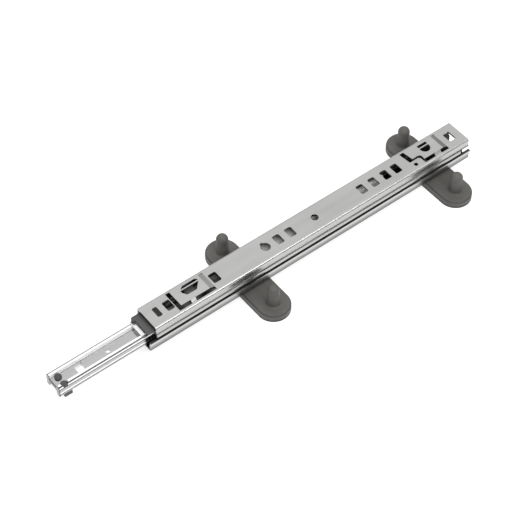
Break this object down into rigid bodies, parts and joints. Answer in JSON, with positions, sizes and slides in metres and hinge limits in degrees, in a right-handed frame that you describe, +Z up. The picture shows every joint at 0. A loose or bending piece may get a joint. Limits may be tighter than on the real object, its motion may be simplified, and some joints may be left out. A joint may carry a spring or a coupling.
{
  "type": "drawer slide",
  "caption": "Two-way ball-bearing drawer slide: two lipped channel rails, an H-shaped beam running between them, and moulded cross feet with domed pegs.",
  "frame": {"origin": "centre of the front foot's underside", "axes": "+X along the slide to the rear, the beam stands out towards -X, +Z up from the feet's undersides to the drawer rail"},
  "size_m": [0.3955, 0.0914, 0.031],
  "materials": {
    "rail_steel": "satin zinc-plated sheet",
    "beam_steel": "bright zinc-plated rolled profile",
    "cage_steel": "plated strip",
    "ball_steel": "polished",
    "foot_plastic": "matte warm grey moulding",
    "bumper_rubber": "dark matte"
  },
  "bodies": {
    "cabinet": {"cabinet_rail": "rail_steel", "foot_front": "foot_plastic", "foot_rear": "foot_plastic", "foot_rivets": "rail_steel"},
    "lower_ball_cage": {"lower_cage": "cage_steel", "lower_balls_near": "ball_steel", "lower_balls_far": "ball_steel"},
    "intermediate": {"beam_upper_profile": "beam_steel", "beam_lower_profile": "beam_steel", "beam_rivets": "rail_steel", "tip_bumper": "bumper_rubber"},
    "upper_ball_cage": {"upper_cage": "cage_steel", "upper_balls_near": "ball_steel", "upper_balls_far": "ball_steel"},
    "drawer": {"drawer_rail": "rail_steel", "front_buffer": "bumper_rubber"}
  },
  "joints": [
    {"name": "intermediate_slide", "type": "slide", "parent": "cabinet", "child": "intermediate", "axis": [-1, 0, 0], "range_m": [-0.065, 0.084]},
    {"name": "lower_cage_slide", "type": "slide", "parent": "cabinet", "child": "lower_ball_cage", "axis": [-1, 0, 0], "range_m": [-0.0325, 0.042]},
    {"name": "drawer_slide", "type": "slide", "parent": "intermediate", "child": "drawer", "axis": [-1, 0, 0], "range_m": [-0.05, 0.126]},
    {"name": "upper_cage_slide", "type": "slide", "parent": "intermediate", "child": "upper_ball_cage", "axis": [-1, 0, 0], "range_m": [-0.025, 0.063]}
  ],
  "couplings": [
    {"joint": "lower_cage_slide", "follows": "intermediate_slide", "ratio": 0.5},
    {"joint": "upper_cage_slide", "follows": "drawer_slide", "ratio": 0.5}
  ]
}
